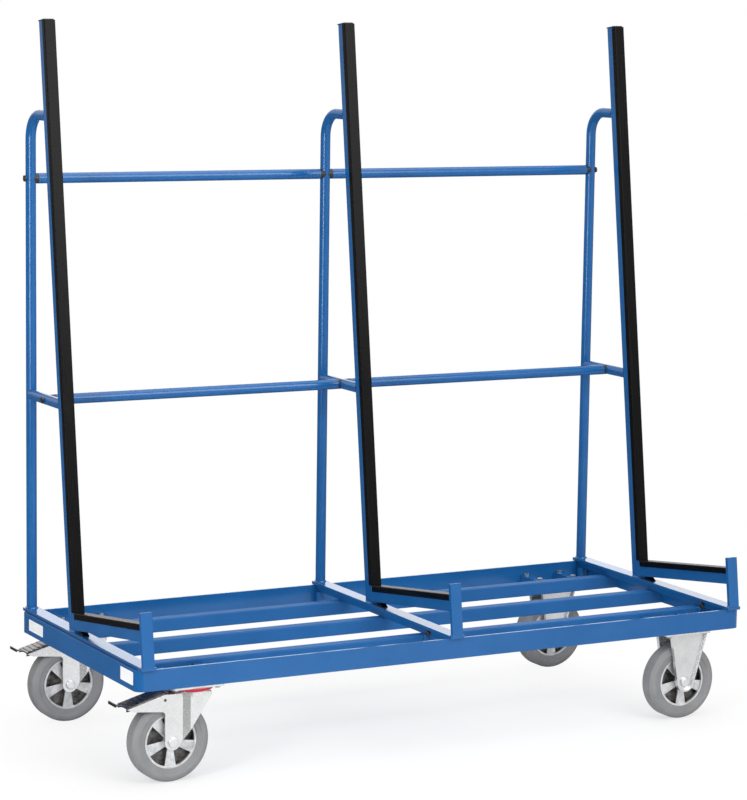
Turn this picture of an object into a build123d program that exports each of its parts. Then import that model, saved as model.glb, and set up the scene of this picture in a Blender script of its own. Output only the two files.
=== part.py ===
from build123d import *
import math
import os

# Glass panel cart. +X runs along the length, -Y is the side of the front stops,
# +Z is up and the wheels stand on Z = 0. Lengths are in millimetres.

# Base ring and slats
base_length = 1736.0
base_depth = 750.0
ring_height = 52.0
ring_wall = 6.0
ring_corner_radius = 22.0
slat_size = 35.0
slat_wall = 2.5
slat_corner_radius = 4.0
slat_inset = 147.5

# Three leaning frames
foot_width = 38.0
foot_inset = 8.0
foot_thickness = 8.0
foot_overhang = 10.0
foot_rib_width = 20.0
lean_angle = 7.5
corner_setback = 327.6
corner_rise = 49.2
bar_width = 25.0
bar_wall = 2.0
bar_corner_radius = 3.0
post_depth = 36.0
arm_depth = 36.0
post_length = 1478.0
rubber_thickness = 8.0
rubber_lip = 2.5
rubber_cover = 8.0
rubber_end_gap = 1.0
cap_flange = 2.5
cap_edge = 1.0
cap_plug = 18.0
stop_width = 30.0
stop_rise = 26.0

# Round tubes and cross bars
tube_diameter = 27.0
tube_wall = 2.6
tube_top_rise = 1275.0
tube_bend_radius = 62.0
upper_bar_rise = 1112.5
lower_bar_rise = 558.7
lower_bar_setback = 116.5
bar_end_gap = 18.0
saddle_plug = 16.0
saddle_inset = 0.4
screw_head_diameter = 16.0
screw_head_height = 5.0
screw_shank_diameter = 8.0

# Castors
bed_clearance = 35.0
castor_side_inset = 50.5
swivel_castor_inset = 162.0
fixed_castor_inset = 160.0
plate_length = 140.0
plate_width = 100.0
plate_thickness = 5.0
plate_corner_radius = 10.0
bolt_spacing_x = 110.0
bolt_spacing_y = 72.0
bolt_diameter = 8.0
bolt_head_width = 13.0
bolt_head_height = 5.0
bolt_clearance = 0.25
bearer_width = 30.0
bearer_height = 25.0
bearer_wall = 3.0

# Wheels
wheel_diameter = 200.0
wheel_width = 50.0
tread_flat = 32.0
shoulder_drop = 7.0
sidewall_step = 1.8
sidewall_step_inset = 20.0
tyre_thickness = 33.0
hub_lip = 3.0
rim_thickness = 5.0
rim_width = 40.0
boss_radius = 19.0
boss_width = 53.0
spoke_count = 5
spoke_root_width = 14.0
spoke_tip_width = 30.0
spoke_thickness = 34.0
hub_web_thickness = 5.0
axle_trail = 60.0
axle_diameter = 12.0
sleeve_diameter = 20.0
running_clearance = 0.1

# Forks and brackets
leg_gap = 56.0
fork_sheet = 4.0
leg_bottom_radius = 20.0
crown_drop = 17.0
crown_front = 38.0
crown_half_width = 42.0
leg_bend_start = -33.0
leg_bend_end = -17.0
bridge_thickness = 6.0
head_radius = 48.0
head_rise = 4.5
head_bore_clearance = 0.1
wing_reach = 18.0
wing_tip_drop = 27.0
wing_heel_drop = 34.0
wing_root_drop = 42.0
wing_fillet = 9.0
bracket_top_left = -47.0
bracket_top_right = 64.0
bracket_bottom_radius = 25.0
bracket_rim = 7.0
seal_outer_radius = 56.0
seal_inner_radius = 44.0
seal_gap = 0.5
race_radius = 30.0
king_bolt_diameter = 16.0
king_head_diameter = 26.0
king_head_height = 5.0
king_nut_width = 24.0
king_nut_height = 7.0

# Brake pedal
pedal_pivot_drop = 13.0
pedal_pin_diameter = 7.0
pedal_sheet = 3.0
pedal_half_width = 27.2
pedal_flange_drop = 10.0
pedal_lift = 0.8
pedal_rib_count = 6
pedal_rib_pitch = 13.0
pedal_rib_width = 4.0
pedal_rib_height = 1.2
tab_reach = 24.0
tab_half_width = 22.0
tab_neck_half_width = 6.0
tab_height = 7.0
tab_sheet = 3.0
tab_drop = 20.0

# Places worked out from the sizes above
ring_bottom = wheel_diameter + bed_clearance
ring_top = ring_bottom + ring_height
slat_top = ring_bottom + slat_size
slat_spacing = base_depth / 2 - slat_inset
castor_y = base_depth / 2 - castor_side_inset
swivel_axis_x = swivel_castor_inset - base_length / 2
fixed_castor_x = base_length / 2 - fixed_castor_inset
corner_y = base_depth / 2 - corner_setback
foot_top = ring_top + foot_thickness
corner_z = foot_top + corner_rise
tube_top_z = foot_top + tube_top_rise
upper_bar_z = foot_top + upper_bar_rise
lower_bar_z = foot_top + lower_bar_rise
end_x = base_length / 2
front_y = -base_depth / 2
web_inner_y = base_depth / 2 - ring_wall
web_inner_x = end_x - ring_wall
foot_half_length = base_depth / 2 + foot_overhang
frame_x = end_x - foot_inset - foot_width / 2
frame_places = {"left": -frame_x, "middle": 0.0, "right": frame_x}
tube_radius = tube_diameter / 2
tube_y = foot_half_length - tube_radius
lower_bar_y = tube_y - lower_bar_setback
bolt_corner_radius = bolt_head_width / 2 / math.cos(math.pi / 6)
post_front = rubber_thickness
post_back = rubber_thickness + post_depth
lean = math.radians(lean_angle)
stop_thickness = foot_overhang * math.cos(lean)
plate_top = ring_bottom
plate_bottom = plate_top - plate_thickness
wheel_radius = wheel_diameter / 2
axle_height = wheel_radius
tyre_bore_radius = wheel_radius - tyre_thickness
hub_lip_radius = tyre_bore_radius + hub_lip
rim_inner_radius = tyre_bore_radius - rim_thickness
sidewall_step_radius = wheel_radius - sidewall_step_inset
bearer_top = ring_bottom + bearer_height
leg_inner = leg_gap / 2
leg_outer = leg_inner + fork_sheet
crown_inner = crown_half_width - fork_sheet
leg_bend_angle = math.atan2(crown_inner - leg_inner, leg_bend_end - leg_bend_start)
crown_top = ring_bottom - crown_drop
wing_tip_x = -axle_trail - wheel_radius - wing_reach
wing_tip_z = crown_top - wing_tip_drop
wing_heel_x = wing_tip_x + wing_reach
wing_heel_z = crown_top - wing_heel_drop
wing_root_z = crown_top - wing_root_drop
pedal_pivot_x = -axle_trail - leg_bottom_radius
pedal_pivot_z = crown_top - pedal_pivot_drop
pedal_inner_x = pedal_pivot_x + fork_sheet
pedal_outer_x = wing_tip_x
tab_x = pedal_outer_x - tab_reach
tab_z = crown_top - tab_drop
bridge_start = pedal_pivot_x + fork_sheet + pedal_pin_diameter
tab_end = -swivel_axis_x - tab_x + tab_sheet
centre_shift = (tab_end - end_x) / 2
wing_slope = (crown_top - wing_tip_z) / (pedal_pivot_x - wing_tip_x)


def write(name, shape):
    placed = shape.moved(Location((centre_shift, 0, 0)))
    placed.label = name
    export_step(placed, f"parts/{name}.step")


def group(solids):
    return Compound(children=list(solids))


def bar_x(start, end, y, z, radius):
    disc = Plane(origin=(start, y, z), z_dir=(1, 0, 0)) * Circle(radius)
    return extrude(disc, end - start)


def bar_y(start, end, x, z, radius):
    disc = Plane(origin=(x, start, z), z_dir=(0, 1, 0)) * Circle(radius)
    return extrude(disc, end - start)


def bar_z(bottom, top, x, y, radius):
    disc = Plane(origin=(x, y, bottom), z_dir=(0, 0, 1)) * Circle(radius)
    return extrude(disc, top - bottom)


def block(x_range, y_range, z_range):
    sizes = [high - low for low, high in (x_range, y_range, z_range)]
    middle = [(low + high) / 2 for low, high in (x_range, y_range, z_range)]
    return Pos(*middle) * Box(*sizes)


def side_plate(sketch, y_start, thickness):
    # A sketch drawn in X and Z becomes a plate that fills y_start to y_start + thickness.
    upright = Plane(origin=(0, y_start + thickness, 0), x_dir=(1, 0, 0), z_dir=(0, -1, 0))
    return extrude(upright * sketch, thickness)


def hexagon_z(bottom, top, x, y, width):
    sketch = Pos(x, y, bottom) * RegularPolygon(width / 2, 6, major_radius=False)
    return extrude(sketch, top - bottom)


# Base ring, in four rails mitred at the corners
def ring_inside():
    inner = RectangleRounded(
        base_length - 2 * ring_wall, base_depth - 2 * ring_wall, ring_corner_radius - ring_wall
    )
    return Pos(0, 0, ring_bottom) * extrude(inner, ring_height)


def ring_rails():
    outer = RectangleRounded(base_length, base_depth, ring_corner_radius)
    ring = Pos(0, 0, ring_bottom) * extrude(outer, ring_height) - ring_inside()
    half_depth = base_depth / 2
    mitre = end_x - half_depth
    wedges = {
        "front_rail": [(-end_x, -half_depth), (end_x, -half_depth), (mitre, 0), (-mitre, 0)],
        "rear_rail": [(-end_x, half_depth), (-mitre, 0), (mitre, 0), (end_x, half_depth)],
        "left_end_rail": [(-end_x, -half_depth), (-mitre, 0), (-end_x, half_depth)],
        "right_end_rail": [(end_x, -half_depth), (end_x, half_depth), (mitre, 0)],
    }
    rails = {}
    for name, corners in wedges.items():
        wedge = make_face(Polyline(*corners, close=True))
        rails[name] = ring & (Pos(0, 0, ring_bottom) * extrude(wedge, ring_height))
    return rails


def tube_section(width, depth, wall, corner_radius):
    outside = RectangleRounded(width, depth, corner_radius)
    return outside - RectangleRounded(width - 2 * wall, depth - 2 * wall, corner_radius - wall)


def slat(y):
    section = tube_section(slat_size, slat_size, slat_wall, slat_corner_radius)
    upright = Plane(origin=(-web_inner_x, y, ring_bottom + slat_size / 2), z_dir=(1, 0, 0))
    return extrude(upright * section, 2 * web_inner_x)


def bearer(x, side, holes):
    near = slat_spacing + slat_size / 2
    outside = block(
        (x - bearer_width / 2, x + bearer_width / 2),
        sorted((side * near, side * web_inner_y)),
        (ring_bottom, bearer_top),
    )
    inside = block(
        (x - bearer_width / 2 + bearer_wall, x + bearer_width / 2 - bearer_wall),
        sorted((side * near, side * web_inner_y)),
        (ring_bottom + bearer_wall, bearer_top - bearer_wall),
    )
    result = outside - inside
    for hole_y in holes:
        result -= bar_z(ring_bottom, bearer_top, x, hole_y, bolt_diameter / 2 + bolt_clearance)
    return result


def castor_places():
    for x in (swivel_axis_x, fixed_castor_x):
        for side in (-1, 1):
            yield x, side


def bolt_places(x, side):
    for x_side in (-1, 1):
        for y_side in (-1, 1):
            yield x + x_side * bolt_spacing_x / 2, side * castor_y + y_side * bolt_spacing_y / 2


def castor_bearers():
    pieces = []
    for x, side in castor_places():
        rows = [side * castor_y + y_side * bolt_spacing_y / 2 for y_side in (-1, 1)]
        for x_side in (-1, 1):
            pieces.append(bearer(x + x_side * bolt_spacing_x / 2, side, rows))
    return group(pieces)


def castor_bolts():
    pieces = []
    for x, side in castor_places():
        for bolt_x, bolt_y in bolt_places(x, side):
            head = hexagon_z(plate_bottom - bolt_head_height, plate_bottom, bolt_x, bolt_y, bolt_head_width)
            shank = bar_z(plate_bottom, bearer_top, bolt_x, bolt_y, bolt_diameter / 2)
            nut = hexagon_z(bearer_top, bearer_top + bolt_head_height, bolt_x, bolt_y, bolt_head_width)
            pieces.append(head + shank + nut)
    return group(pieces)


# Leaning frames: the tilted place puts local Y to the back and local Z up along the post
def tilted(x):
    return Location((x, corner_y, corner_z), (-lean_angle, 0, 0))


def flat_cut(shape, low_z):
    # Keeps what stands above the flat top of the foot.
    reach = base_length
    below = block((-reach, reach), (-reach, reach), (low_z - reach, low_z))
    return shape - below


def foot_beam(x):
    flange = block(
        (x - foot_width / 2, x + foot_width / 2),
        (-foot_half_length, foot_half_length),
        (ring_top, foot_top),
    )
    rib = block(
        (x - foot_rib_width / 2, x + foot_rib_width / 2),
        (-web_inner_y, web_inner_y),
        (slat_top, ring_top),
    )
    return flange + (rib & ring_inside())


def box_tube(depth, length):
    return extrude(tube_section(bar_width, depth, bar_wall, bar_corner_radius), length)


def post(x):
    drop = corner_z
    tube = box_tube(post_depth, post_length + drop)
    local = Pos(0, post_front + post_depth / 2, -drop) * tube
    return flat_cut(tilted(x) * local, foot_top)


def stop_back():
    # Local Y of the stop's back face, which stands at the front edge of the ring.
    return (front_y - corner_y) * math.cos(lean) - (foot_top - corner_z) * math.sin(lean)


def arm(x):
    length = post_front - stop_back()
    tube = box_tube(arm_depth, length)
    middle_z = -rubber_thickness - arm_depth / 2
    local = Pos(0, post_front, middle_z) * Rot(90, 0, 0) * tube
    return tilted(x) * local


def rubber_profile(length):
    # A channel that clips over the edge of a box tube, with its outer face at local Y = 0.
    outer_width = bar_width + 2 * rubber_lip
    depth = rubber_thickness + rubber_cover
    outside = Pos(0, depth / 2) * Rectangle(outer_width, depth)
    soft_corners = outside.vertices().sort_by(Axis.Y)[:2]
    outside = fillet(soft_corners, rubber_lip)
    seat = Pos(0, rubber_thickness + rubber_cover / 2) * Rectangle(bar_width, rubber_cover)
    return extrude(outside - seat, length)


def post_rubber(x):
    local = rubber_profile(post_length - rubber_end_gap)
    return tilted(x) * local


def arm_rubber(x):
    length = -stop_back() - rubber_end_gap
    local = Rot(90, 0, 0) * Rot(0, 0, 180) * rubber_profile(length)
    return tilted(x) * local


def post_cap(x):
    middle = post_front + post_depth / 2
    flange = extrude(Rectangle(bar_width + 2 * cap_edge, post_depth + 2 * cap_edge), cap_flange)
    plug_width = bar_width - 2 * bar_wall
    plug_depth = post_depth - 2 * bar_wall
    plug_section = RectangleRounded(plug_width, plug_depth, bar_corner_radius - bar_wall)
    plug = extrude(plug_section, -cap_plug)
    flange = fillet(flange.edges().group_by(Axis.Z)[-1], cap_edge)
    return tilted(x) * Pos(0, middle, post_length) * (flange + plug)


def front_stop(x):
    back = stop_back()
    local = block(
        (-stop_width / 2, stop_width / 2), (back - stop_thickness, back), (-corner_z, stop_rise)
    )
    return flat_cut(tilted(x) * local, foot_top)


# Round tubes
def behind_post(x, shape):
    # Cuts a tube end to the leaning back face of the post.
    reach = base_length
    front = tilted(x) * block((-reach, reach), (-reach, post_back), (-reach, 2 * reach))
    return shape - front


def rear_tube_path(x):
    bend_start = tube_top_z - tube_bend_radius
    rise = Line((x, tube_y, foot_top), (x, tube_y, bend_start))
    corner = ThreePointArc(
        (x, tube_y, bend_start),
        (
            x,
            tube_y - tube_bend_radius * (1 - math.cos(math.pi / 4)),
            bend_start + tube_bend_radius * math.sin(math.pi / 4),
        ),
        (x, tube_y - tube_bend_radius, tube_top_z),
    )
    run = Line((x, tube_y - tube_bend_radius, tube_top_z), (x, corner_y, tube_top_z))
    return rise + corner + run


def rear_tube(x, screw_sides):
    section = Circle(tube_radius) - Circle(tube_radius - tube_wall)
    tube = sweep(Plane(origin=(x, tube_y, foot_top)) * section, path=rear_tube_path(x))
    tube = behind_post(x, tube)
    for x_side in screw_sides:
        tube -= bar_x(
            *sorted((x, x + x_side * tube_diameter)), tube_y, upper_bar_z, screw_shank_diameter / 2
        )
    return tube


def strut(x, screw_sides):
    outer = bar_y(corner_y, tube_y, x, lower_bar_z, tube_radius)
    bore = bar_y(corner_y, tube_y, x, lower_bar_z, tube_radius - tube_wall)
    tube = outer - bore - bar_z(foot_top, tube_top_z, x, tube_y, tube_radius)
    tube = behind_post(x, tube)
    for x_side in screw_sides:
        tube -= bar_x(
            *sorted((x, x + x_side * tube_diameter)), lower_bar_y, lower_bar_z, screw_shank_diameter / 2
        )
    return tube


def cross_bar(start_x, end_x_place, y, z):
    start = start_x + bar_end_gap
    end = end_x_place - bar_end_gap
    return bar_x(start, end, y, z, tube_radius) - bar_x(start, end, y, z, tube_radius - tube_wall)


def saddle(x, side, y, z, against):
    # A plastic plug in the end of a cross bar, hollowed to sit on the tube that it meets.
    flange = bar_x(*sorted((x, x + side * bar_end_gap)), y, z, tube_radius - saddle_inset)
    plug_start = x + side * bar_end_gap
    plug = bar_x(
        *sorted((plug_start, plug_start + side * saddle_plug)), y, z, tube_radius - tube_wall
    )
    hole = bar_x(
        *sorted((x, plug_start + side * saddle_plug)), y, z, screw_shank_diameter / 2
    )
    return flange + plug - against - hole


def bar_saddles():
    pieces = []
    for left, right in (("left", "middle"), ("middle", "right")):
        for name, side in ((left, 1), (right, -1)):
            x = frame_places[name]
            upright = bar_z(foot_top, tube_top_z, x, tube_y, tube_radius)
            pieces.append(saddle(x, side, tube_y, upper_bar_z, upright))
            crosswise = bar_y(corner_y, tube_y, x, lower_bar_z, tube_radius)
            pieces.append(saddle(x, side, lower_bar_y, lower_bar_z, crosswise))
    return group(pieces)


def bar_screws():
    pieces = []
    inner_end = bar_end_gap + saddle_plug
    for name, outward in (("left", -1), ("right", 1)):
        x = frame_places[name]
        for y, z in ((tube_y, upper_bar_z), (lower_bar_y, lower_bar_z)):
            shank = bar_x(
                *sorted((x + outward * tube_radius, x - outward * inner_end)),
                y, z, screw_shank_diameter / 2,
            )
            seat = x + outward * tube_radius
            head = bar_x(
                *sorted((seat, seat + outward * screw_head_height)), y, z, screw_head_diameter / 2
            )
            pieces.append(shank + head)
    return group(pieces)


# Castor parts, in a local place with the plate's centre over the origin and the floor at Z = 0
def castor_plate():
    plate = extrude(RectangleRounded(plate_length, plate_width, plate_corner_radius), plate_thickness)
    plate = Pos(0, 0, plate_bottom) * plate
    for bolt_x, bolt_y in bolt_places(0, 0):
        plate -= bar_z(plate_bottom, plate_top, bolt_x, bolt_y, bolt_diameter / 2 + bolt_clearance)
    return plate


def swivel_plate():
    race_bottom = crown_top + head_rise + seal_gap
    race = bar_z(race_bottom, plate_bottom, 0, 0, race_radius)
    return castor_plate() + race - bar_z(race_bottom, plate_top, 0, 0, king_bolt_diameter / 2)


def swivel_seal():
    bottom = crown_top + head_rise + seal_gap
    ring = bar_z(bottom, plate_bottom, 0, 0, seal_outer_radius)
    ring -= bar_z(bottom, plate_bottom, 0, 0, seal_inner_radius)
    lower_edge = ring.edges().filter_by(GeomType.CIRCLE).group_by(Axis.Z)[0].sort_by(SortBy.RADIUS)[-1]
    return chamfer(lower_edge, (plate_bottom - bottom) / 3)


def king_bolt():
    nut_top = crown_top - bridge_thickness - seal_gap
    shank = bar_z(nut_top, plate_top, 0, 0, king_bolt_diameter / 2)
    nut = hexagon_z(nut_top - king_nut_height, nut_top, 0, 0, king_nut_width)
    head = bar_z(plate_top, plate_top + king_head_height, 0, 0, king_head_diameter / 2)
    head = chamfer(head.edges().group_by(Axis.Z)[-1], king_head_height / 4)
    return shank + nut + head


def fork_outline():
    axle = Pos(-axle_trail, axle_height) * Circle(leg_bottom_radius)
    top_left = -axle_trail - leg_bottom_radius
    crown = make_face(
        Polyline(
            (top_left, wing_root_z), (crown_front, crown_top - bridge_thickness),
            (crown_front, crown_top), (top_left, crown_top), close=True,
        )
    )
    leg = make_hull(axle.edges() + crown.edges())
    wing = make_face(
        Polyline(
            (pedal_pivot_x, crown_top), (wing_tip_x, wing_tip_z), (wing_heel_x, wing_heel_z),
            (pedal_pivot_x, wing_root_z), close=True,
        )
    )
    outline = leg + wing
    heel = outline.vertices().sort_by_distance((pedal_pivot_x, wing_root_z))[0]
    return fillet(heel, wing_fillet)


def fork_cheek():
    # A pressed side: close to the wheel at the leg and bent out to the wide crown.
    corner_shift = fork_sheet * math.tan(leg_bend_angle / 2)
    plan = make_face(
        Polyline(
            (wing_tip_x, leg_inner), (leg_bend_start, leg_inner), (leg_bend_end, crown_inner),
            (crown_front, crown_inner), (crown_front, crown_half_width),
            (leg_bend_end - corner_shift, crown_half_width),
            (leg_bend_start - corner_shift, leg_outer), (wing_tip_x, leg_outer), close=True,
        )
    )
    return extrude(plan, crown_top) & side_plate(fork_outline(), 0, crown_half_width)


def crown_bridge():
    half = [
        (bridge_start, leg_inner), (leg_bend_start, leg_inner), (leg_bend_end, crown_inner),
        (crown_front, crown_inner),
    ]
    other = [(x, -y) for x, y in reversed(half)]
    plan = make_face(Polyline(*half, *other, close=True))
    return Pos(0, 0, crown_top - bridge_thickness) * extrude(plan, bridge_thickness)


def swivel_fork():
    cheek = fork_cheek()
    head = bar_z(crown_top - bridge_thickness, crown_top + head_rise, 0, 0, head_radius)
    head = chamfer(head.edges().group_by(Axis.Z)[-1], head_rise / 3)
    fork = cheek + mirror(cheek, Plane.XZ) + crown_bridge() + head
    king_hole = king_bolt_diameter / 2 + head_bore_clearance
    fork -= bar_z(axle_height, crown_top + head_rise, 0, 0, king_hole)
    fork -= bar_y(-crown_half_width, crown_half_width, -axle_trail, axle_height, axle_diameter / 2)
    pin_hole = pedal_pin_diameter / 2 + running_clearance
    fork -= bar_y(-crown_half_width, crown_half_width, pedal_pivot_x, pedal_pivot_z, pin_hole)
    return fork


def bracket_outline(shrink):
    axle = Pos(0, axle_height) * Circle(bracket_bottom_radius - shrink)
    left = bracket_top_left + shrink
    right = bracket_top_right - shrink
    top = make_face(
        Polyline(
            (left, plate_bottom - fork_sheet), (right, plate_bottom - fork_sheet),
            (right, plate_bottom), (left, plate_bottom), close=True,
        )
    )
    return make_hull(axle.edges() + top.edges())


def fixed_bracket():
    depth = fork_sheet + bracket_rim
    reach = leg_inner + depth
    cheek = side_plate(bracket_outline(0), leg_inner, depth)
    cheek -= side_plate(bracket_outline(fork_sheet), leg_outer, bracket_rim)
    cheeks = cheek + mirror(cheek, Plane.XZ)
    head_room = bolt_corner_radius + bolt_clearance
    for bolt_x, bolt_y in bolt_places(0, 0):
        notch_bottom = plate_bottom - bolt_head_height - bolt_clearance
        cheeks -= bar_z(notch_bottom, plate_bottom, bolt_x, bolt_y, head_room)
    bracket = castor_plate() + cheeks
    return bracket - bar_y(-reach, reach, 0, axle_height, axle_diameter / 2)


def axle(x):
    # Bolt with a domed head at the front, a nut at the back and a spacer inside the wheel.
    shank = bar_y(-leg_outer, leg_outer, x, axle_height, axle_diameter / 2)
    sleeve = bar_y(-leg_inner, leg_inner, x, axle_height, sleeve_diameter / 2)
    head_height = axle_diameter / 2
    head = bar_y(-leg_outer - head_height, -leg_outer, x, axle_height, axle_diameter)
    head = fillet(head.edges().group_by(Axis.Y)[0], head_height / 2)
    nut_plane = Plane(origin=(x, leg_outer, axle_height), z_dir=(0, 1, 0))
    nut = extrude(nut_plane * RegularPolygon(axle_diameter, 6), head_height)
    return shank + sleeve + head + nut


def tyre():
    half = wheel_width / 2
    tread = tread_flat / 2
    shoulder_radius = wheel_radius - shoulder_drop
    seat = rim_width / 2
    lip = half - sidewall_step
    mid_radius = (sidewall_step_radius + shoulder_radius) / 2
    upper = [
        (tyre_bore_radius, seat),
        (hub_lip_radius, seat + sidewall_step),
        (sidewall_step_radius, lip),
        (sidewall_step_radius + sidewall_step, half - sidewall_step / 4),
        (mid_radius, half),
        (shoulder_radius, half - sidewall_step),
        (wheel_radius - sidewall_step / 2, tread + sidewall_step),
        (wheel_radius, tread),
    ]
    lower = [(radius, -offset) for radius, offset in reversed(upper)]
    face = make_face(Plane.XY * Polyline(*upper, *lower, close=True))
    return revolve(face, Axis.Y)


def spoke(turn):
    start = boss_radius - fork_sheet
    end = rim_inner_radius + fork_sheet / 4
    sketch = make_face(
        Polyline(
            (-spoke_root_width / 2, start), (spoke_root_width / 2, start),
            (spoke_tip_width / 2, end), (-spoke_tip_width / 2, end), close=True,
        )
    )
    plate = side_plate(sketch, -spoke_thickness / 2, spoke_thickness)
    return Rot(0, turn, 0) * plate


def hub():
    seat = rim_width / 2
    rim_face = make_face(
        Polyline(
            (rim_inner_radius, -seat), (rim_inner_radius + sidewall_step, -seat),
            (tyre_bore_radius, -seat), (tyre_bore_radius, seat),
            (rim_inner_radius + sidewall_step, seat), (rim_inner_radius, seat - sidewall_step),
            (rim_inner_radius, -seat + sidewall_step), close=True,
        )
    )
    body = revolve(rim_face, Axis.Y)
    body += bar_y(-boss_width / 2, boss_width / 2, 0, 0, boss_radius)
    web = hub_web_thickness / 2
    body += bar_y(-web, web, 0, 0, rim_inner_radius + sidewall_step)
    for index in range(spoke_count):
        body += spoke(180 + index * 360 / spoke_count)
    bore = sleeve_diameter / 2 + running_clearance
    return body - bar_y(-boss_width, boss_width, 0, 0, bore)


def pedal_top(x):
    return crown_top + pedal_lift + pedal_sheet + (x - pedal_pivot_x) * wing_slope


def sloping_strip(outer_x, inner_x, above, below):
    # A strip that follows the pedal's slope, as a sketch in X and Z.
    return make_face(
        Polyline(
            (outer_x, pedal_top(outer_x) + above), (inner_x, pedal_top(inner_x) + above),
            (inner_x, pedal_top(inner_x) - below), (outer_x, pedal_top(outer_x) - below), close=True,
        )
    )


def pedal_flange():
    low = pedal_pivot_z - pedal_pin_diameter
    return make_face(
        Polyline(
            (pedal_outer_x, pedal_top(pedal_outer_x)), (pedal_inner_x, pedal_top(pedal_inner_x)),
            (pedal_inner_x, low), (pedal_pivot_x - pedal_pin_diameter, low),
            (pedal_outer_x, pedal_top(pedal_outer_x) - pedal_flange_drop), close=True,
        )
    )


def release_tab():
    # A narrow neck carries a short upright blade beyond the end of the tread.
    start_x = pedal_outer_x + pedal_rib_pitch
    neck = make_face(
        Polyline(
            (start_x, pedal_top(start_x)), (start_x, pedal_top(start_x) - tab_sheet),
            (pedal_outer_x, pedal_top(pedal_outer_x) - tab_sheet), (tab_x, tab_z),
            (tab_x, tab_z + tab_sheet), (pedal_outer_x, pedal_top(pedal_outer_x)), close=True,
        )
    )
    blade = block(
        (tab_x - tab_sheet, tab_x), (-tab_half_width, tab_half_width), (tab_z, tab_z + tab_height)
    )
    return side_plate(neck, -tab_neck_half_width, 2 * tab_neck_half_width) + blade


def brake_pedal():
    # Treadle between the fork cheeks, with ribs, side flanges, its hinge pin and a release tab.
    half = pedal_half_width
    body = side_plate(sloping_strip(pedal_outer_x, pedal_inner_x, 0, pedal_sheet), -half, 2 * half)
    body += side_plate(pedal_flange(), -half, pedal_sheet)
    body += side_plate(pedal_flange(), half - pedal_sheet, pedal_sheet)
    rib_half = half - pedal_sheet
    for index in range(pedal_rib_count):
        start = pedal_outer_x + (index + 1 / 2) * pedal_rib_pitch
        rib = sloping_strip(start, start + pedal_rib_width, pedal_rib_height, pedal_sheet)
        body += side_plate(rib, -rib_half, 2 * rib_half)
    body += bar_y(-leg_outer, leg_outer, pedal_pivot_x, pedal_pivot_z, pedal_pin_diameter / 2)
    return body + release_tab()


def build_base():
    for name, rail in ring_rails().items():
        write(name, rail)
    write("front_slat", slat(-slat_spacing))
    write("middle_slat", slat(0))
    write("rear_slat", slat(slat_spacing))
    write("castor_bearers", castor_bearers())
    write("castor_bolts", castor_bolts())


def build_frames():
    screw_sides = {"left": (-1, 1), "middle": (), "right": (-1, 1)}
    struts = []
    stops = []
    caps = []
    for name, x in frame_places.items():
        write(f"foot_beam_{name}", foot_beam(x))
        write(f"post_{name}", post(x))
        write(f"arm_{name}", arm(x))
        write(f"post_rubber_{name}", post_rubber(x))
        write(f"arm_rubber_{name}", arm_rubber(x))
        write(f"rear_tube_{name}", rear_tube(x, screw_sides[name]))
        struts.append(strut(x, screw_sides[name]))
        stops.append(front_stop(x))
        caps.append(post_cap(x))
    write("struts", group(struts))
    write("front_stops", group(stops))
    write("post_caps", group(caps))


def build_bars():
    for left, right in (("left", "middle"), ("middle", "right")):
        start = frame_places[left]
        end = frame_places[right]
        side = "left" if left == "left" else "right"
        write(f"upper_bar_{side}", cross_bar(start, end, tube_y, upper_bar_z))
        write(f"lower_bar_{side}", cross_bar(start, end, lower_bar_y, lower_bar_z))
    write("bar_saddles", bar_saddles())
    write("bar_screws", bar_screws())


def build_swivel_castors():
    seals = []
    bolts = []
    for row, side in (("front", -1), ("rear", 1)):
        place = Pos(swivel_axis_x, side * castor_y, 0)
        wheel_place = place * Pos(-axle_trail, 0, axle_height)
        seals.append(place * swivel_seal())
        bolts.append(place * king_bolt())
        write(f"swivel_plate_{row}", place * swivel_plate())
        write(f"swivel_fork_{row}", place * swivel_fork())
        write(f"swivel_axle_{row}", place * axle(-axle_trail))
        write(f"swivel_tyre_{row}", wheel_place * tyre())
        write(f"swivel_hub_{row}", wheel_place * hub())
        write(f"brake_pedal_{row}", place * brake_pedal())
    write("swivel_seals", group(seals))
    write("king_bolts", group(bolts))


def build_fixed_castors():
    axles = []
    for row, side in (("front", -1), ("rear", 1)):
        place = Pos(fixed_castor_x, side * castor_y, 0)
        wheel_place = place * Pos(0, 0, axle_height)
        write(f"fixed_bracket_{row}", place * fixed_bracket())
        axles.append(place * axle(0))
        write(f"fixed_tyre_{row}", wheel_place * tyre())
        write(f"fixed_hub_{row}", wheel_place * hub())
    write("fixed_axles", group(axles))


def main():
    os.makedirs("parts", exist_ok=True)
    build_base()
    build_frames()
    build_bars()
    build_swivel_castors()
    build_fixed_castors()


main()
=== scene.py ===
import math

import bpy
import bmesh
from mathutils import Matrix, Vector


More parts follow.
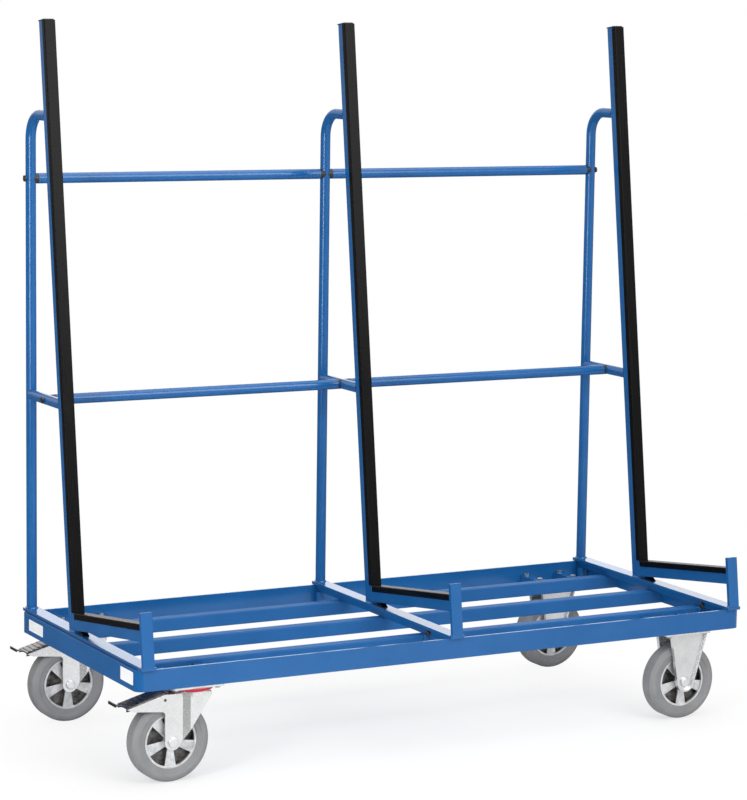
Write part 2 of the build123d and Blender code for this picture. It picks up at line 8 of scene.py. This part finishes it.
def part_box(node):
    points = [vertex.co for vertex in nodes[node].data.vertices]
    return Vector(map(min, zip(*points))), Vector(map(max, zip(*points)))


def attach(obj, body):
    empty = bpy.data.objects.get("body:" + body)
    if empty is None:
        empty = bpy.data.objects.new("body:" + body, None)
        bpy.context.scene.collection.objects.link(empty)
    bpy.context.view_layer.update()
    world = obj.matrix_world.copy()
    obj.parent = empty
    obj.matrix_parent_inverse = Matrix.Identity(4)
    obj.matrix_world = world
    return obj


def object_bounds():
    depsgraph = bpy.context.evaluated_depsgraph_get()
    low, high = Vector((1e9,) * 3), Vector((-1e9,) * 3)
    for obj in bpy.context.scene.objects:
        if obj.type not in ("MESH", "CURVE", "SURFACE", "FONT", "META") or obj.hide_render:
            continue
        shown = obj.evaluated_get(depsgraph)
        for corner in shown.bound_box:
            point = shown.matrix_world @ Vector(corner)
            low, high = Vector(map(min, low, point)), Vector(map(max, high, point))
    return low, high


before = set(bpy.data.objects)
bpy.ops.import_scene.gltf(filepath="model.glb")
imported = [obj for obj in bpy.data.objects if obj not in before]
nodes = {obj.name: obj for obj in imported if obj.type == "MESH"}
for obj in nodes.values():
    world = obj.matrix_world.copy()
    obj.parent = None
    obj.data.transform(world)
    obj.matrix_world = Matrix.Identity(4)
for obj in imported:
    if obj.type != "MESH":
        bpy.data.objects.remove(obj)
cad_bounds = [list(corner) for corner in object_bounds()]

# Camera, solved from the photograph's edges (pixels of a 747 by 800 frame)
focal_px = 2821.91
frame_px = (747.0, 800.0)
camera_place = (-3.4466, -6.3718, 1.8260)
camera_yaw = math.radians(28.2627)
camera_pitch = math.radians(7.7284)
camera_roll = math.radians(0.8033)


# Node helpers
def new_material(name):
    material = bpy.data.materials.new(name)
    material.use_nodes = True
    tree = material.node_tree
    tree.nodes.clear()
    output = tree.nodes.new("ShaderNodeOutputMaterial")
    shader = tree.nodes.new("ShaderNodeBsdfPrincipled")
    tree.links.new(shader.outputs["BSDF"], output.inputs["Surface"])
    return material, tree, shader


def object_coords(tree, scale=(1.0, 1.0, 1.0)):
    coords = tree.nodes.new("ShaderNodeTexCoord")
    mapping = tree.nodes.new("ShaderNodeMapping")
    mapping.inputs["Scale"].default_value = scale
    tree.links.new(coords.outputs["Object"], mapping.inputs["Vector"])
    return mapping.outputs["Vector"]


def noise(tree, vector, scale, detail=3.0, rough=0.5):
    node = tree.nodes.new("ShaderNodeTexNoise")
    node.inputs["Scale"].default_value = scale
    node.inputs["Detail"].default_value = detail
    node.inputs["Roughness"].default_value = rough
    node.inputs["Distortion"].default_value = 0.0
    tree.links.new(vector, node.inputs["Vector"])
    return node.outputs["Fac"]


def ramp(tree, factor, stops):
    node = tree.nodes.new("ShaderNodeValToRGB")
    elements = node.color_ramp.elements
    elements[0].position, elements[0].color = stops[0][0], (*stops[0][1], 1.0)
    elements[1].position, elements[1].color = stops[-1][0], (*stops[-1][1], 1.0)
    for position, colour in stops[1:-1]:
        element = elements.new(position)
        element.color = (*colour, 1.0)
    tree.links.new(factor, node.inputs["Fac"])
    return node.outputs["Color"]


def value_range(tree, factor, low, high):
    node = tree.nodes.new("ShaderNodeMapRange")
    node.inputs["To Min"].default_value = low
    node.inputs["To Max"].default_value = high
    tree.links.new(factor, node.inputs["Value"])
    return node.outputs["Result"]


def smooth_range(tree, factor, start, end, first, last):
    node = tree.nodes.new("ShaderNodeMapRange")
    node.interpolation_type = "SMOOTHSTEP"
    limits = (("From Min", start), ("From Max", end), ("To Min", first), ("To Max", last))
    for name, value in limits:
        node.inputs[name].default_value = value
    tree.links.new(factor, node.inputs["Value"])
    return node.outputs["Result"]


def combine(tree, operation, first, second=None):
    node = tree.nodes.new("ShaderNodeMath")
    node.operation = operation
    for index, value in enumerate((first, second)):
        if isinstance(value, float):
            node.inputs[index].default_value = value
        elif value is not None:
            tree.links.new(value, node.inputs[index])
    return node.outputs[0]


def axes(tree, vector):
    node = tree.nodes.new("ShaderNodeSeparateXYZ")
    tree.links.new(vector, node.inputs["Vector"])
    return node.outputs["X"], node.outputs["Y"], node.outputs["Z"]


def product(tree, first, second):
    return combine(tree, "MULTIPLY", first, second)


def mix_colour(tree, factor, first, second):
    node = tree.nodes.new("ShaderNodeMix")
    node.data_type = "RGBA"
    tree.links.new(factor, node.inputs["Factor"])
    tree.links.new(first, node.inputs["A"])
    if isinstance(second, tuple):
        node.inputs["B"].default_value = (*second, 1.0)
    else:
        tree.links.new(second, node.inputs["B"])
    return node.outputs["Result"]


def bump(tree, shader, height, strength, distance, normal=None):
    # The height's relief on the shader, over a given normal.
    node = tree.nodes.new("ShaderNodeBump")
    node.inputs["Strength"].default_value = strength
    node.inputs["Distance"].default_value = distance
    tree.links.new(height, node.inputs["Height"])
    if normal is not None:
        tree.links.new(normal, node.inputs["Normal"])
    tree.links.new(node.outputs["Normal"], shader.inputs["Normal"])


def edge_normal(tree, radius):
    # Edges shaded as if rounded by the radius.
    node = tree.nodes.new("ShaderNodeBevel")
    node.samples = 4
    node.inputs["Radius"].default_value = radius
    return node.outputs["Normal"]


def grey(value):
    return (value, value, value)


# Materials
def blue_paint(name, low, high, level):
    # Roughness from low to high, at a given specular level.
    material, tree, shader = new_material(name)
    fine = object_coords(tree)
    patches = noise(tree, fine, 6.0, 4.0, 0.6)
    colour = ramp(tree, patches, [(0.3, (0.006, 0.089, 0.272)), (0.7, (0.012, 0.106, 0.312))])
    dust = noise(tree, fine, 55.0, 6.0, 0.7)
    specks = ramp(tree, dust, [(0.68, grey(0.0)), (0.82, grey(0.25))])
    colour = mix_colour(tree, specks, colour, (0.035, 0.175, 0.430))
    tree.links.new(colour, shader.inputs["Base Color"])
    tree.links.new(value_range(tree, dust, low, high), shader.inputs["Roughness"])
    shader.inputs["Specular IOR Level"].default_value = level
    peel = noise(tree, fine, 620.0, 2.0, 0.5)
    bump(tree, shader, peel, 0.10, 0.00015, edge_normal(tree, 0.0012))
    return material


def rubber(name, stretch):
    material, tree, shader = new_material(name)
    # Lighter streaks along the length are painted sheen in the colour, and the roughness varies
    # along them too.
    sheen_streaks = noise(tree, object_coords(tree, stretch), 60.0, 4.0, 0.6)
    grain = noise(tree, object_coords(tree), 900.0, 2.0, 0.6)
    colour = ramp(tree, sheen_streaks, [(0.3, grey(0.0015)), (0.6, grey(0.003)), (0.8, grey(0.009))])
    tree.links.new(colour, shader.inputs["Base Color"])
    shader.inputs["Specular IOR Level"].default_value = 0.09
    tree.links.new(value_range(tree, sheen_streaks, 0.20, 0.34), shader.inputs["Roughness"])
    bump(tree, shader, grain, 0.35, 0.0002, edge_normal(tree, 0.0010))
    return material


def black_plastic(name, value, low, high):
    material, tree, shader = new_material(name)
    coords = object_coords(tree)
    clouds = noise(tree, coords, 40.0, 3.0, 0.6)
    colour = ramp(tree, clouds, [(0.35, grey(value)), (0.75, grey(value * 1.8))])
    tree.links.new(colour, shader.inputs["Base Color"])
    tree.links.new(value_range(tree, clouds, low, high), shader.inputs["Roughness"])
    grain = noise(tree, coords, 700.0, 2.0, 0.5)
    bump(tree, shader, grain, 0.3, 0.00015, edge_normal(tree, 0.0006))
    return material


def zinc(name, light, dark, low, high, stretch=(1.0, 1.0, 1.0), metal=0.85):
    material, tree, shader = new_material(name)
    coords = object_coords(tree, stretch)
    clouds = noise(tree, coords, 22.0, 5.0, 0.65)
    colour = ramp(tree, clouds, [(0.30, dark), (0.70, light)])
    tree.links.new(colour, shader.inputs["Base Color"])
    shader.inputs["Metallic"].default_value = metal
    grain = noise(tree, coords, 420.0, 3.0, 0.6)
    tree.links.new(value_range(tree, grain, low, high), shader.inputs["Roughness"])
    bump(tree, shader, grain, 0.04, 0.0001, edge_normal(tree, 0.0009))
    return material


wheel_middle_y = 0.3245


def cast_aluminium():
    # Bright spoke faces and rim, with grey painted shade deep in the pockets.
    material, tree, shader = new_material("cast_aluminium")
    coords = object_coords(tree)
    clouds = noise(tree, coords, 60.0, 5.0, 0.7)
    metal = ramp(tree, clouds, [(0.28, (0.42, 0.43, 0.44)), (0.72, (0.80, 0.81, 0.82))])
    # Painted shade for the pockets, mixed in where the surface lies near the wheel's middle
    # plane.
    painted_pocket_shade = ramp(tree, clouds, [(0.34, (0.030, 0.027, 0.025)), (0.66, (0.210, 0.205, 0.200))])
    across = combine(tree, "ABSOLUTE", axes(tree, coords)[1])
    from_middle = combine(tree, "ABSOLUTE", combine(tree, "SUBTRACT", across, wheel_middle_y))
    pocket = smooth_range(tree, from_middle, 0.0120, 0.0170, 1.0, 0.0)
    colour = mix_colour(tree, pocket, metal, painted_pocket_shade)
    tree.links.new(colour, shader.inputs["Base Color"])
    shader.inputs["Metallic"].default_value = 0.75
    tree.links.new(value_range(tree, clouds, 0.40, 0.58), shader.inputs["Roughness"])
    grain = noise(tree, coords, 800.0, 3.0, 0.7)
    bump(tree, shader, grain, 0.5, 0.0003, edge_normal(tree, 0.0015))
    return material


def tyre_rubber():
    material, tree, shader = new_material("tyre_rubber")
    coords = object_coords(tree)
    clouds = noise(tree, coords, 18.0, 5.0, 0.6)
    dust = noise(tree, coords, 120.0, 5.0, 0.7)
    colour = ramp(tree, clouds, [(0.3, (0.180, 0.182, 0.188)), (0.7, (0.232, 0.234, 0.240))])
    specks = ramp(tree, dust, [(0.60, grey(0.0)), (0.78, grey(0.30))])
    colour = mix_colour(tree, specks, colour, (0.300, 0.300, 0.300))
    tree.links.new(colour, shader.inputs["Base Color"])
    tree.links.new(value_range(tree, dust, 0.55, 0.78), shader.inputs["Roughness"])
    bump(tree, shader, dust, 0.25, 0.0003, edge_normal(tree, 0.0012))
    return material


def red_seal():
    material, tree, shader = new_material("red_seal")
    coords = object_coords(tree)
    clouds = noise(tree, coords, 45.0, 3.0, 0.6)
    colour = ramp(tree, clouds, [(0.3, (0.330, 0.003, 0.016)), (0.7, (0.460, 0.006, 0.028))])
    tree.links.new(colour, shader.inputs["Base Color"])
    tree.links.new(value_range(tree, clouds, 0.38, 0.52), shader.inputs["Roughness"])
    grain = noise(tree, coords, 500.0, 2.0, 0.5)
    bump(tree, shader, grain, 0.15, 0.0001, edge_normal(tree, 0.0008))
    return material


def blank_label():
    material, tree, shader = new_material("blank_label")
    coords = object_coords(tree)
    clouds = noise(tree, coords, 50.0, 4.0, 0.6)
    colour = ramp(tree, clouds, [(0.3, (0.84, 0.85, 0.86)), (0.7, (0.90, 0.91, 0.92))])
    tree.links.new(colour, shader.inputs["Base Color"])
    tree.links.new(value_range(tree, clouds, 0.30, 0.45), shader.inputs["Roughness"])
    bump(tree, shader, clouds, 0.1, 0.0001)
    return material


def painted_weld():
    material, tree, shader = new_material("painted_weld")
    coords = object_coords(tree)
    ripple = noise(tree, coords, 180.0, 3.0, 0.6)
    colour = ramp(tree, ripple, [(0.3, (0.014, 0.105, 0.300)), (0.7, (0.022, 0.135, 0.360))])
    tree.links.new(colour, shader.inputs["Base Color"])
    tree.links.new(value_range(tree, ripple, 0.12, 0.24), shader.inputs["Roughness"])
    shader.inputs["Coat Weight"].default_value = 0.25
    bump(tree, shader, ripple, 0.6, 0.0006)
    return material


materials = {
    "blue": blue_paint("blue_paint", 0.13, 0.24, 0.42),
    "deck": blue_paint("blue_paint_deck", 0.54, 0.66, 0.25),
    "post_rubber": rubber("rubber_upright", (6.0, 1.0, 0.05)),
    "arm_rubber": rubber("rubber_sloped", (6.0, 0.05, 1.0)),
    "plastic": black_plastic("black_plastic", 0.010, 0.38, 0.55),
    "screw": black_plastic("black_screw", 0.012, 0.25, 0.40),
    "zinc": zinc(
        "zinc_sheet", (0.79, 0.795, 0.80), (0.67, 0.675, 0.68), 0.20, 0.32, metal=0.78,
    ),
    # The bolts' zinc is darker than the axles' as painted shade for where they sit in the
    # frame's shade.
    "bolt": zinc("zinc_bolt", (0.52, 0.53, 0.54), (0.30, 0.31, 0.32), 0.22, 0.36),
    "axle": zinc("zinc_axle", (0.82, 0.83, 0.84), (0.66, 0.67, 0.68), 0.30, 0.42),
    "pedal": zinc(
        "dark_plating", (0.170, 0.160, 0.155), (0.0135, 0.012, 0.0115), 0.14, 0.30,
        stretch=(1.0, 5.0, 1.0), metal=1.0,
    ),
    "hub": cast_aluminium(),
    "tyre": tyre_rubber(),
    "seal": red_seal(),
    "label": blank_label(),
    "weld": painted_weld(),
}


def material_for(node):
    # The finish of a node by the start of its name.
    starts = (
        ("post_rubber", "post_rubber"), ("arm_rubber", "arm_rubber"), ("post_caps", "plastic"),
        ("bar_saddles", "plastic"), ("bar_screws", "screw"), ("castor_bolts", "bolt"),
        ("king_bolts", "bolt"), ("swivel_axle", "axle"), ("fixed_axles", "axle"),
        ("swivel_plate", "zinc"), ("swivel_fork", "zinc"), ("fixed_bracket", "zinc"),
        ("swivel_seals", "seal"), ("brake_pedal", "pedal"), ("swivel_tyre", "tyre"),
        ("fixed_tyre", "tyre"), ("swivel_hub", "hub"), ("fixed_hub", "hub"),
    )
    for start, key in starts:
        if node.startswith(start):
            return materials[key]
    return materials["deck" if node.endswith("_slat") else "blue"]


for name, node in nodes.items():
    node.data.materials.clear()
    node.data.materials.append(material_for(name))


# Pieces
sharp_angle = math.radians(40.0)


def add_mesh(name, mesh_builder, material, smooth=True):
    # A new piece on the cart's frame.
    mesh = bpy.data.meshes.new(name)
    shape = bmesh.new()
    mesh_builder(shape)
    bmesh.ops.recalc_face_normals(shape, faces=shape.faces)
    shape.to_mesh(mesh)
    shape.free()
    mesh.materials.append(material)
    if smooth:
        for face in mesh.polygons:
            face.use_smooth = True
        mesh.set_sharp_from_angle(angle=sharp_angle)
    piece = bpy.data.objects.new(name, mesh)
    bpy.context.scene.collection.objects.link(piece)
    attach(piece, "cart")


label_thickness = 0.0003
label_corner = 0.002
corner_segments = 6


def label_sheet(shape, low, high, x):
    # A thin sheet with rounded corners on a face that looks to -X.
    outline = []
    radius = label_corner
    corners = (
        (high[0] - radius, high[1] - radius, 0.0), (low[0] + radius, high[1] - radius, 90.0),
        (low[0] + radius, low[1] + radius, 180.0), (high[0] - radius, low[1] + radius, 270.0),
    )
    for y, z, start in corners:
        for step in range(corner_segments + 1):
            angle = math.radians(start + 90.0 * step / corner_segments)
            outline.append((y + radius * math.cos(angle), z + radius * math.sin(angle)))
    back = [shape.verts.new((x, y, z)) for y, z in outline]
    front = [shape.verts.new((x - label_thickness, y, z)) for y, z in outline]
    count = len(outline)
    shape.faces.new(front)
    shape.faces.new(back)
    for index in range(count):
        after = (index + 1) % count
        shape.faces.new((back[index], back[after], front[after], front[index]))


end_face_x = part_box("left_end_rail")[0][0]
for name, low, high in (
    ("blank_label_front", (-0.3525, 0.2485), (-0.2770, 0.2805)),
    ("blank_label_rear", (0.2260, 0.2475), (0.3215, 0.2765)),
):
    add_mesh(
        name, lambda shape, low=low, high=high: label_sheet(shape, low, high, end_face_x),
        materials["label"], smooth=False,
    )


def ring_of(shape, centre, across, up, radius, count):
    ring = []
    for index in range(count):
        angle = 2.0 * math.pi * index / count
        point = centre + across * (radius * math.cos(angle)) + up * (radius * math.sin(angle))
        ring.append(shape.verts.new(point))
    return ring


def skin(shape, rings, closed=False):
    # Faces between rings of points, with end caps unless the rings close on themselves.
    for index in range(len(rings) if closed else len(rings) - 1):
        first, second = rings[index], rings[(index + 1) % len(rings)]
        for step in range(len(first)):
            after = (step + 1) % len(first)
            shape.faces.new((first[step], first[after], second[after], second[step]))
    if not closed:
        shape.faces.new(rings[0])
        shape.faces.new(rings[-1])


def turned(shape, start, axis, profile, count):
    # A round part from (distance along the axis, radius) pairs.
    axis = Vector(axis).normalized()
    across = axis.orthogonal().normalized()
    up = axis.cross(across)
    rings = []
    for along, radius in profile:
        rings.append(ring_of(shape, Vector(start) + axis * along, across, up, radius, count))
    skin(shape, rings)


def weld_bead(shape, path, radius, closed=False):
    # A rippled bead along a path, thinner at its ends unless it is closed.
    stations = [Vector(point) for point in path]
    rings = []
    count = len(stations)
    for index, point in enumerate(stations):
        before = stations[(index - 1) % count] if closed or index else point
        after = stations[(index + 1) % count] if closed or index < count - 1 else point
        along = (after - before).normalized()
        across = along.orthogonal().normalized()
        swell = 1.0 + 0.22 * math.sin(2.1 * index) + 0.10 * math.sin(0.9 * index + 1.0)
        if not closed:
            swell *= math.sin(math.pi * (0.12 + 0.76 * index / (count - 1))) ** 0.5
        rings.append(ring_of(shape, point, across, along.cross(across), radius * swell, 8))
    skin(shape, rings, closed)


bead_step = 0.0022


def line(start, end):
    # Stations of a straight bead.
    start, end = Vector(start), Vector(end)
    count = max(4, int((end - start).length / bead_step))
    return [start.lerp(end, index / count) for index in range(count + 1)]


def circle(centre, radius, count=40):
    # Stations of a bead around an upright tube.
    x, y, z = centre
    angles = [2.0 * math.pi * index / count for index in range(count)]
    return [(x + radius * math.cos(angle), y + radius * math.sin(angle), z) for angle in angles]


def box_of(name):
    low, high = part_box(name)
    return Vector(low), Vector(high)


# Places and profiles of the frame's small details
thin_bead, bead, thick_bead = 0.0022, 0.0024, 0.0026
bead_margin = 0.0036
weld_lift = 0.0004
weld_gap = 0.0006
post_foot = (0.053, 0.085)
stop_thickness = 0.010
stop_half_width = 0.015
stop_weld_start, stop_weld_gap = 0.003, 0.001
rib_offset = 0.010
arm_face_drop = 0.0047
# Sizes of the dark wedge under the arm, which is painted shade.
shade_wedge_inset_left, shade_wedge_inset_right = 0.001, 0.008
shade_wedge_back, shade_wedge_bend = 0.024, 0.008
shade_wedge_front = ((0.001, 0.0065), (-0.006, 0.0020), (-0.008, 0.0))
shade_wedge_slope = math.tan(math.radians(7.5))
stub_place = (0.3530, 0.2370)
screw_place = (-0.255, 0.2775)
lug_place = (-0.247, 0.2460)
lug_offset = 0.0050
stub_profile = ((0.0, 0.0095), (0.0010, 0.0105), (0.0330, 0.0105))
screw_profile = (
    (0.0, 0.0085), (0.0015, 0.0085), (0.0015, 0.0068),
    (0.0060, 0.0064), (0.0078, 0.0046), (0.0084, 0.0020),
)
lug_profile = ((0.0, 0.0040), (0.0012, 0.0052), (0.0230, 0.0052), (0.0244, 0.0036))


def make_frame_details(side):
    # Welds at the feet, the tube's stub under the beam, a dark rubber wedge under the arm that
    # is painted
    #  shade where the arm shades the beam, and a black screw and a lug on the beam's rib.
    beam_low, beam_high = box_of("foot_beam_" + side)
    tube_low, tube_high = box_of("rear_tube_" + side)
    post_low, post_high = box_of("post_" + side)
    arm_low, arm_high = box_of("arm_" + side)
    middle = (beam_low.x + beam_high.x) / 2.0
    top = beam_high.z
    arm_back = arm_high.y - arm_face_drop
    rib = middle - rib_offset
    radius = (tube_high.x - tube_low.x) / 2.0
    tube_y = tube_high.y - radius
    stop_front, stop_back = beam_low.y, beam_low.y + stop_thickness
    stop_low, stop_high = middle - stop_half_width, middle + stop_half_width

    def welds(shape):
        rear_limit = cad_bounds[1][1] - bead_margin
        around = circle((middle, tube_y, top + weld_lift), radius + weld_gap)
        around = [(x, min(y, rear_limit), z) for x, y, z in around]
        weld_bead(shape, around, bead, closed=True)
        for x in (post_low.x, post_high.x):
            weld_bead(shape, line((x, post_foot[0], top), (x, post_foot[1], top)), thin_bead)
        left, right = stop_low - stop_weld_gap, stop_high + stop_weld_gap
        back = stop_back + stop_weld_gap
        weld_bead(shape, line((left, back, top), (right, back, top)), thick_bead)
        for x in (stop_high, stop_low):
            start = (x, stop_front + stop_weld_start, top)
            weld_bead(shape, line(start, (x, stop_back, top)), bead)

    def stub(shape):
        turned(shape, (rib, *stub_place), (0.0, 0.0, 1.0), stub_profile, 24)

    def screw(shape):
        turned(shape, (rib, *screw_place), (-1.0, 0.0, 0.0), screw_profile, 20)

    # The wedge is painted shade: a dark rubber piece where there is only shade under the arm.
    def shade_wedge(shape):
        # Its top follows the arm's underside and its front slopes down to the beam.
        rise = arm_low.z + (arm_back - shade_wedge_back) * shade_wedge_slope
        sides = []
        for x in (arm_low.x + shade_wedge_inset_left, arm_high.x - shade_wedge_inset_right):
            outline = [
                (x, shade_wedge_back, top), (x, shade_wedge_back, rise),
                (x, shade_wedge_bend, rise + (shade_wedge_back - shade_wedge_bend) * shade_wedge_slope),
            ]
            outline += [(x, y, top + height) for y, height in shade_wedge_front]
            sides.append([shape.verts.new(point) for point in outline])
        skin(shape, sides)

    def lug(shape):
        turned(shape, (rib - lug_offset, *lug_place), (0.0, 0.0, 1.0), lug_profile, 16)

    add_mesh("frame_welds_" + side, welds, materials["weld"])
    add_mesh("tube_stub_" + side, stub, materials["blue"])
    # The dark wedge under the arm is painted shade.
    add_mesh("arm_shade_wedge_" + side, shade_wedge, materials["arm_rubber"], smooth=False)
    add_mesh("beam_screws_" + side, screw, materials["screw"])
    add_mesh("beam_lugs_" + side, lug, materials["blue"])


for side in ("left", "middle", "right"):
    make_frame_details(side)


# Camera, floor and light
def camera_turn():
    # The camera's right, up and back directions as a turn.
    forward = Vector((
        math.sin(camera_yaw) * math.cos(camera_pitch),
        math.cos(camera_yaw) * math.cos(camera_pitch),
        -math.sin(camera_pitch),
    ))
    level = Vector((math.cos(camera_yaw), -math.sin(camera_yaw), 0.0))
    rise = level.cross(forward)
    right = level * math.cos(camera_roll) + rise * math.sin(camera_roll)
    up = -level * math.sin(camera_roll) + rise * math.cos(camera_roll)
    return Matrix((right, up, -forward)).transposed()


def make_camera():
    data = bpy.data.cameras.new("camera")
    data.sensor_width = 36.0
    data.lens = focal_px / max(frame_px) * data.sensor_width
    camera = bpy.data.objects.new("camera", data)
    camera.matrix_world = Matrix.Translation(camera_place) @ camera_turn().to_4x4()
    bpy.context.scene.collection.objects.link(camera)
    bpy.context.scene.camera = camera


def seen_directly(tree, reflected=None):
    # 1 for rays from the camera, in a reflection or through glass. A given value dims
    # reflections.
    path = tree.nodes.new("ShaderNodeLightPath")
    glossy = path.outputs["Is Glossy Ray"]
    if reflected is not None:
        glossy = product(tree, glossy, reflected)
    result = combine(tree, "MAXIMUM", path.outputs["Is Camera Ray"], glossy)
    return combine(tree, "MAXIMUM", result, path.outputs["Is Transmission Ray"])


shade_centre = (-0.1, -0.55, 0.0)
floor_reach = 30.0


def make_floor():
    # Pale floor that fades to plain white away from the object and keeps its shadow. Reflections
    # see it bright at the front right and shaded at the left and the back.
    material, tree, shader = new_material("studio_floor")
    coords = object_coords(tree)
    clouds = noise(tree, coords, 0.8, 2.0, 0.5)
    colour = ramp(tree, clouds, [(0.3, grey(0.80)), (0.7, grey(0.82))])
    tree.links.new(colour, shader.inputs["Base Color"])
    shader.inputs["Roughness"].default_value = 0.8
    away = tree.nodes.new("ShaderNodeVectorMath")
    away.operation = "DISTANCE"
    away.inputs[1].default_value = shade_centre
    tree.links.new(coords, away.inputs[0])
    fade = smooth_range(tree, away.outputs["Value"], 0.45, 1.45, 0.50, 1.0)
    share = product(tree, fade, seen_directly(tree))
    glossy = tree.nodes.new("ShaderNodeLightPath").outputs["Is Glossy Ray"]
    share = combine(tree, "MAXIMUM", share, glossy)
    x, y, z = axes(tree, coords)
    right_of_left_end = smooth_range(tree, x, -1.05, -0.75, 0.0, 1.0)
    before_middle = smooth_range(tree, y, 0.35, 0.0, 0.0, 1.0)
    far_right = smooth_range(tree, x, 0.5, 1.3, 1.0, 0.68)
    mirrored = product(tree, product(tree, right_of_left_end, before_middle), far_right)
    mirrored = value_range(tree, mirrored, 0.15, 1.0)
    dimmed = product(tree, glossy, combine(tree, "SUBTRACT", 1.0, mirrored))
    white = tree.nodes.new("ShaderNodeEmission")
    white.inputs["Color"].default_value = (*grey(1.0), 1.0)
    tree.links.new(combine(tree, "SUBTRACT", 1.0, dimmed), white.inputs["Strength"])
    blend = tree.nodes.new("ShaderNodeMixShader")
    tree.links.new(share, blend.inputs["Fac"])
    tree.links.new(shader.outputs["BSDF"], blend.inputs[1])
    tree.links.new(white.outputs["Emission"], blend.inputs[2])
    output = tree.nodes["Material Output"]
    tree.links.new(blend.outputs["Shader"], output.inputs["Surface"])
    mesh = bpy.data.meshes.new("floor")
    shape = bmesh.new()
    bmesh.ops.create_grid(shape, x_segments=4, y_segments=4, size=floor_reach)
    shape.to_mesh(mesh)
    shape.free()
    mesh.materials.append(material)
    floor = bpy.data.objects.new("floor", mesh)
    bpy.context.scene.collection.objects.link(floor)


def area_light(name, place, target, size, watts):
    data = bpy.data.lights.new(name, "AREA")
    data.shape = "RECTANGLE"
    data.size, data.size_y = size
    data.energy = watts
    light = bpy.data.objects.new(name, data)
    light.location = place
    direction = Vector(target) - Vector(place)
    light.rotation_euler = direction.to_track_quat("-Z", "Y").to_euler()
    light.visible_camera = False
    bpy.context.scene.collection.objects.link(light)


front_right = (0.375, -0.927)


def studio_walls(tree):
    # Reflections see a bright studio at the front right, a white wall over the horizon at the
    # back, and shade elsewhere.
    x, y, z = axes(tree, tree.nodes.new("ShaderNodeTexCoord").outputs["Generated"])
    to_right = product(tree, x, front_right[0])
    to_rear = product(tree, y, -front_right[1])
    toward = combine(tree, "SUBTRACT", to_right, to_rear)
    front = smooth_range(tree, toward, 0.55, 0.95, 0.12, 0.85)
    behind = smooth_range(tree, y, 0.3, 0.6, 0.0, 1.0)
    over_horizon = smooth_range(tree, z, 0.10, 0.20, 0.0, 1.0)
    far_right = smooth_range(tree, x, 0.57, 0.68, 1.0, 0.2)
    back = product(tree, product(tree, behind, over_horizon), far_right)
    return combine(tree, "MAXIMUM", front, back)


def make_world():
    world = bpy.data.worlds.new("studio")
    bpy.context.scene.world = world
    world.use_nodes = True
    tree = world.node_tree
    tree.nodes.clear()
    output = tree.nodes.new("ShaderNodeOutputWorld")
    background = tree.nodes.new("ShaderNodeBackground")
    background.inputs["Color"].default_value = (*grey(1.0), 1.0)
    strength = value_range(tree, seen_directly(tree, studio_walls(tree)), 0.40, 1.0)
    tree.links.new(strength, background.inputs["Strength"])
    tree.links.new(background.outputs["Background"], output.inputs["Surface"])


make_camera()
make_floor()
area_light("top_softbox", (0.2, -0.2, 4.4), (0.0, 0.0, 0.0), (5.0, 3.6), 120.0)
area_light("front_softbox", (1.5, -5.4, 3.7), (0.0, 0.0, 0.8), (4.2, 3.6), 226.0)
area_light("left_softbox", (-3.2, -1.9, 1.5), (-0.6, 0.2, 0.9), (0.8, 2.2), 66.0)
area_light("back_softbox", (2.2, 5.0, 1.6), (0.0, 0.0, 0.6), (6.4, 2.2), 56.0)
make_world()

bpy.context.scene.view_settings.view_transform = "Standard"
